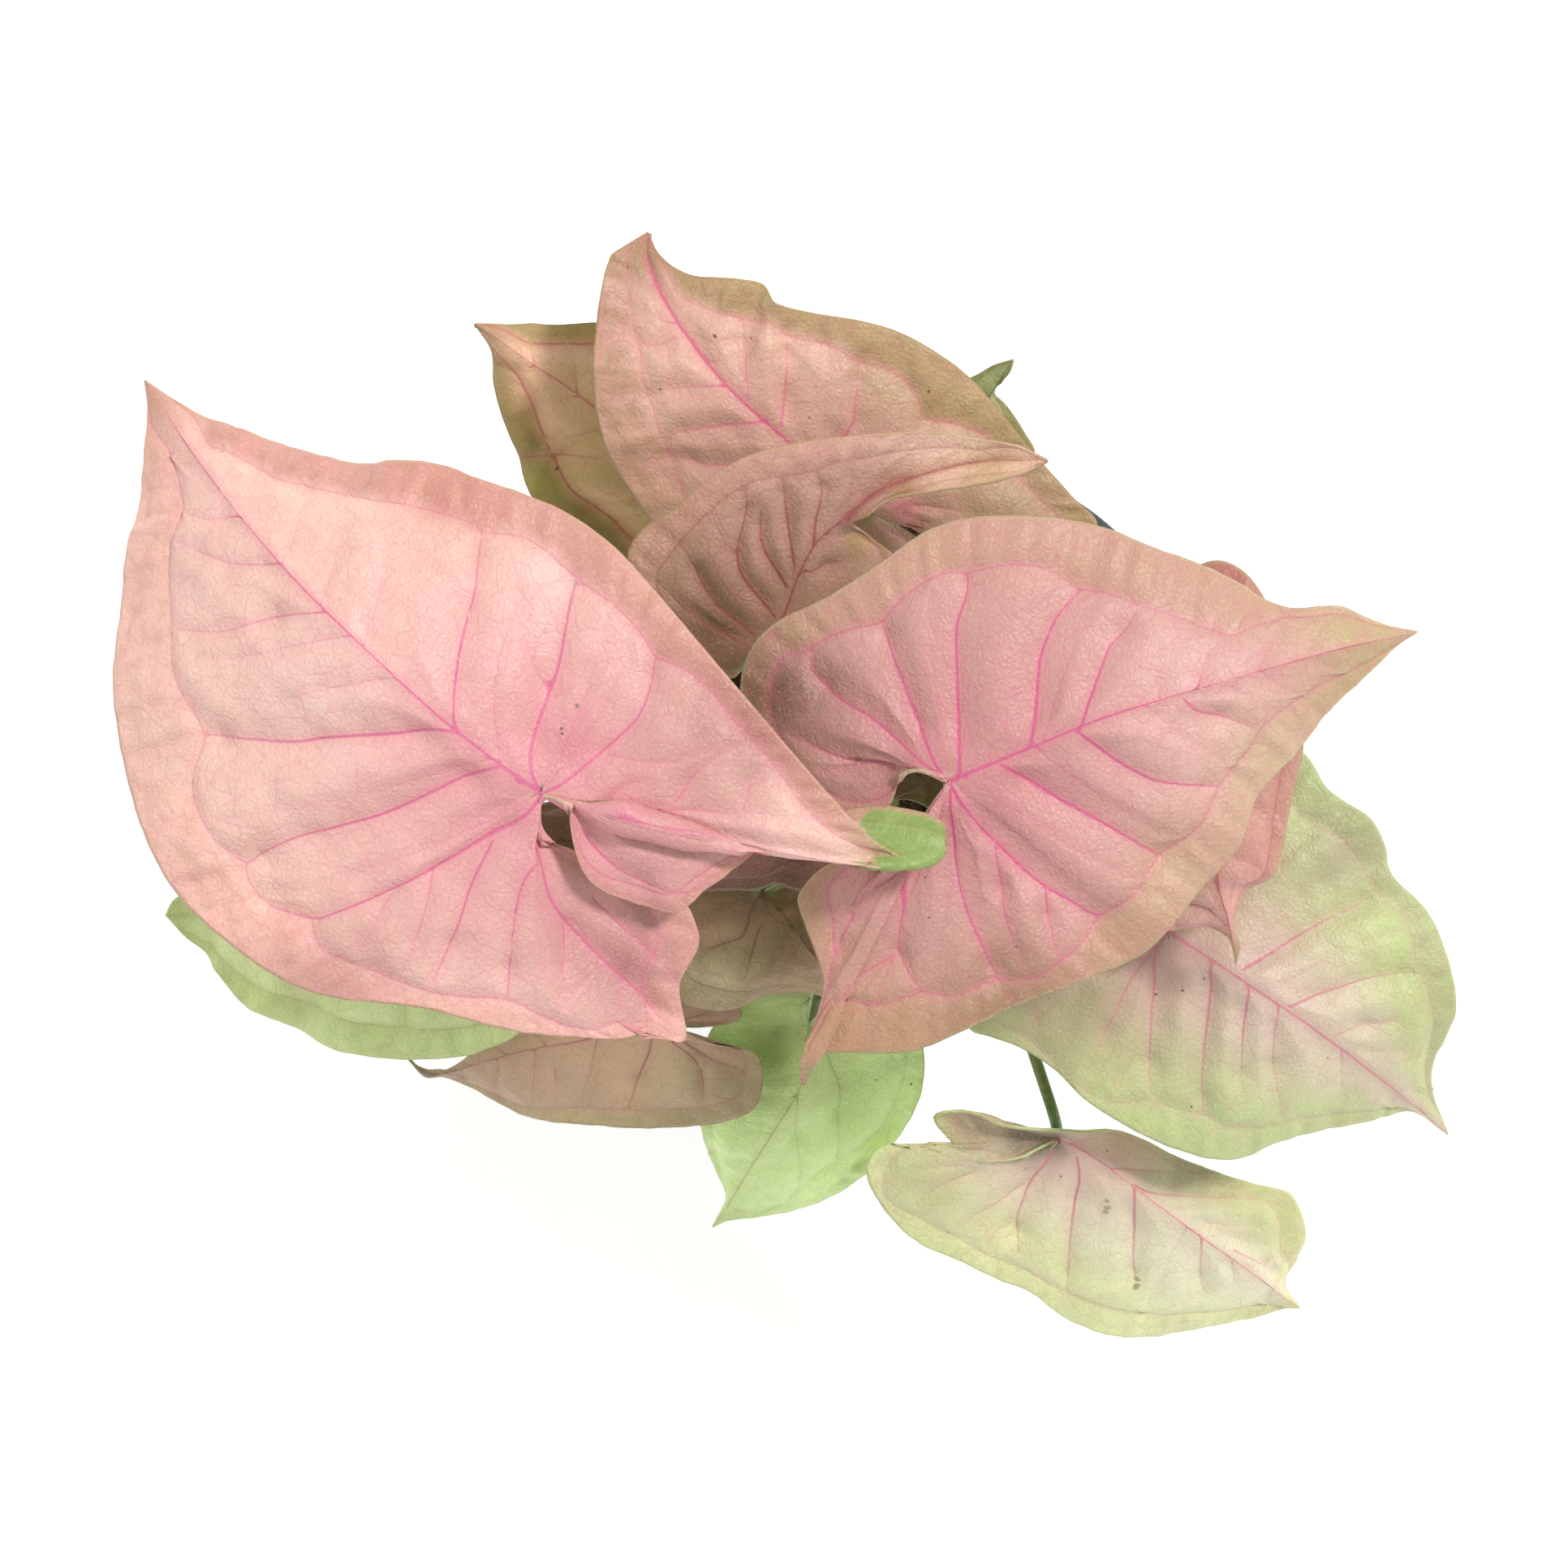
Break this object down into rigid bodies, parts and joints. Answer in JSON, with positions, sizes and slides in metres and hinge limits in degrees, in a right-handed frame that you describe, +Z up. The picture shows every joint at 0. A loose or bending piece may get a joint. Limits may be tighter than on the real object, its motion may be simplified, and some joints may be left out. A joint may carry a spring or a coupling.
{
  "type": "potted arrowhead vine",
  "caption": "Pink arrowhead vine with broad waved leaves on slim stalks, growing in a plain round nursery pot.",
  "frame": {"origin": "centre of the pot's underside, on the surface it stands on", "axes": "+Z up, -Y towards the side with the two lowest leaves, +X to the right seen from there"},
  "size_m": [0.2523, 0.2142, 0.2376],
  "materials": {
    "pot_plastic": "matt moulded plastic",
    "compost": "moist crumbly compost",
    "stem": "smooth green stem, satin",
    "leaf_pink": "satin leaf blade",
    "leaf_green": "satin leaf blade",
    "leaf_olive": "satin leaf blade"
  },
  "bodies": {
    "root": {"pot": "pot_plastic", "soil": "compost", "stem_back_left": "stem", "stem_back_right": "stem", "stem_front_right": "stem", "stem_front_left": "stem", "leaf_left_large": "leaf_pink", "leaf_right_large": "leaf_pink", "leaf_top": "leaf_pink", "leaf_centre_folded": "leaf_pink", "leaf_top_left": "leaf_olive", "leaf_top_right_small": "leaf_olive", "leaf_right_coral": "leaf_pink", "leaf_lower_right": "leaf_green", "leaf_bottom_right": "leaf_green", "leaf_bottom_green": "leaf_green", "leaf_lower_left_brown": "leaf_olive", "leaf_left_green": "leaf_green", "leaf_centre_brown": "leaf_olive", "leaf_centre_deep": "leaf_olive"}
  },
  "joints": []
}
